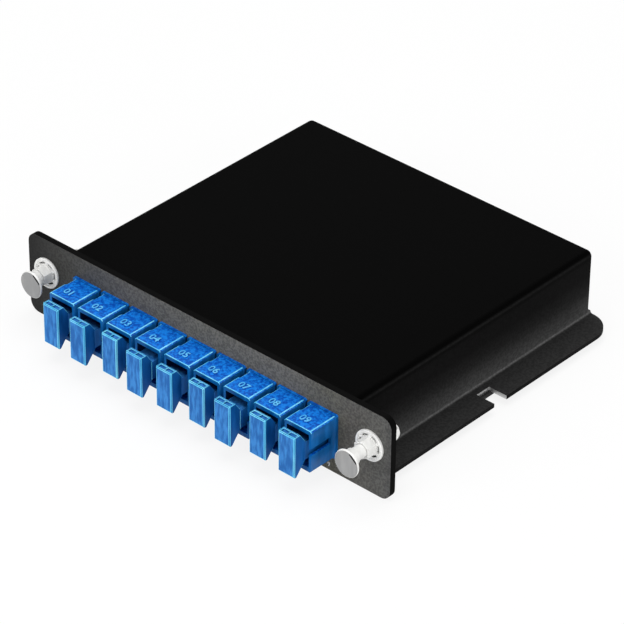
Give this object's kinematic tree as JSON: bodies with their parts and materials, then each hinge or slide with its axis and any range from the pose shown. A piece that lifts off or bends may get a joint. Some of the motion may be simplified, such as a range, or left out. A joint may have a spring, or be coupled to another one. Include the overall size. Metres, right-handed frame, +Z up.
{
  "type": "plc fibre splitter",
  "caption": "Optical splitter cassette: a front panel with a row of blue simplex adapters and dust caps, a folded black steel box with side wings, and push-pull plungers.",
  "frame": {"origin": "under the middle of the whole object, on the surface it stands on", "axes": "+X to the right along the front panel, +Y from the panel to the rear wall, +Z up"},
  "size_m": [0.13, 0.114, 0.025],
  "materials": {
    "panel_paint": "satin black powder coat",
    "cover_paint": "matte black powder coat",
    "base_paint": "matte black powder coat",
    "standoff_steel": "zinc plated",
    "screw_steel": "black zinc plated",
    "insert_plastic": "natural moulded",
    "clip_steel": "bright rolled",
    "sleeve_ceramic": "polished zirconia",
    "ferrule_ceramic": "polished zirconia",
    "boot_rubber": "matte",
    "case_steel": "satin",
    "chip_glass": "polished",
    "end_rubber": "matte",
    "fibre_clip_plastic": "matte nylon",
    "grommet_nylon": "natural nylon",
    "plunger_nylon": "natural nylon",
    "adapter_blue": "semi-gloss moulded",
    "cap_blue": "semi-gloss moulded",
    "connector_blue": "semi-gloss moulded",
    "pigtail_jacket": "matte tight buffer"
  },
  "bodies": {
    "cassette": {"front_panel": "panel_paint", "cover": "cover_paint", "base_plate": "base_paint", "standoffs": "standoff_steel", "base_screws": "screw_steel", "adapter_clips": "clip_steel", "adapter_inserts": "insert_plastic", "alignment_sleeves": "sleeve_ceramic", "ferrules": "ferrule_ceramic", "connector_boots": "boot_rubber", "splitter_case": "case_steel", "splitter_chip": "chip_glass", "splitter_ends": "end_rubber", "fibre_clips": "fibre_clip_plastic", "grommet_left": "grommet_nylon", "grommet_right": "grommet_nylon", "adapter_1": "adapter_blue", "connector_1": "connector_blue", "pigtail_1": "pigtail_jacket", "adapter_2": "adapter_blue", "connector_2": "connector_blue", "pigtail_2": "pigtail_jacket", "adapter_3": "adapter_blue", "connector_3": "connector_blue", "pigtail_3": "pigtail_jacket", "adapter_4": "adapter_blue", "connector_4": "connector_blue", "pigtail_4": "pigtail_jacket", "adapter_5": "adapter_blue", "connector_5": "connector_blue", "pigtail_5": "pigtail_jacket", "adapter_6": "adapter_blue", "connector_6": "connector_blue", "pigtail_6": "pigtail_jacket", "adapter_7": "adapter_blue", "connector_7": "connector_blue", "pigtail_7": "pigtail_jacket", "adapter_8": "adapter_blue", "connector_8": "connector_blue", "pigtail_8": "pigtail_jacket", "adapter_9": "adapter_blue", "connector_9": "connector_blue", "pigtail_9": "pigtail_jacket"},
    "cap_1": {"dust_cap_1": "cap_blue"},
    "cap_2": {"dust_cap_2": "cap_blue"},
    "cap_3": {"dust_cap_3": "cap_blue"},
    "cap_4": {"dust_cap_4": "cap_blue"},
    "cap_5": {"dust_cap_5": "cap_blue"},
    "cap_6": {"dust_cap_6": "cap_blue"},
    "cap_7": {"dust_cap_7": "cap_blue"},
    "cap_8": {"dust_cap_8": "cap_blue"},
    "cap_9": {"dust_cap_9": "cap_blue"},
    "latch_pin_left": {"plunger_left": "plunger_nylon"},
    "latch_pin_right": {"plunger_right": "plunger_nylon"}
  },
  "joints": [
    {"name": "cap_1_pull", "type": "slide", "parent": "cassette", "child": "cap_1", "axis": [0, -1, 0], "range_m": [-0.0007, 0.0103]},
    {"name": "cap_2_pull", "type": "slide", "parent": "cassette", "child": "cap_2", "axis": [0, -1, 0], "range_m": [-0.0014, 0.0096]},
    {"name": "cap_3_pull", "type": "slide", "parent": "cassette", "child": "cap_3", "axis": [0, -1, 0], "range_m": [0, 0.011]},
    {"name": "cap_4_pull", "type": "slide", "parent": "cassette", "child": "cap_4", "axis": [0, -1, 0], "range_m": [-0.0017, 0.0093]},
    {"name": "cap_5_pull", "type": "slide", "parent": "cassette", "child": "cap_5", "axis": [0, -1, 0], "range_m": [-0.0014, 0.0096]},
    {"name": "cap_6_pull", "type": "slide", "parent": "cassette", "child": "cap_6", "axis": [0, -1, 0], "range_m": [-0.0003, 0.0107]},
    {"name": "cap_7_pull", "type": "slide", "parent": "cassette", "child": "cap_7", "axis": [0, -1, 0], "range_m": [-0.0019, 0.0091]},
    {"name": "cap_8_pull", "type": "slide", "parent": "cassette", "child": "cap_8", "axis": [0, -1, 0], "range_m": [-0.0001, 0.0109]},
    {"name": "cap_9_pull", "type": "slide", "parent": "cassette", "child": "cap_9", "axis": [0, -1, 0], "range_m": [-0.0007, 0.0103]},
    {"name": "plunger_left_push", "type": "slide", "parent": "cassette", "child": "latch_pin_left", "axis": [0, 1, 0], "range_m": [-0.0029, 0]},
    {"name": "plunger_right_push", "type": "slide", "parent": "cassette", "child": "latch_pin_right", "axis": [0, 1, 0], "range_m": [0, 0.0029]}
  ]
}
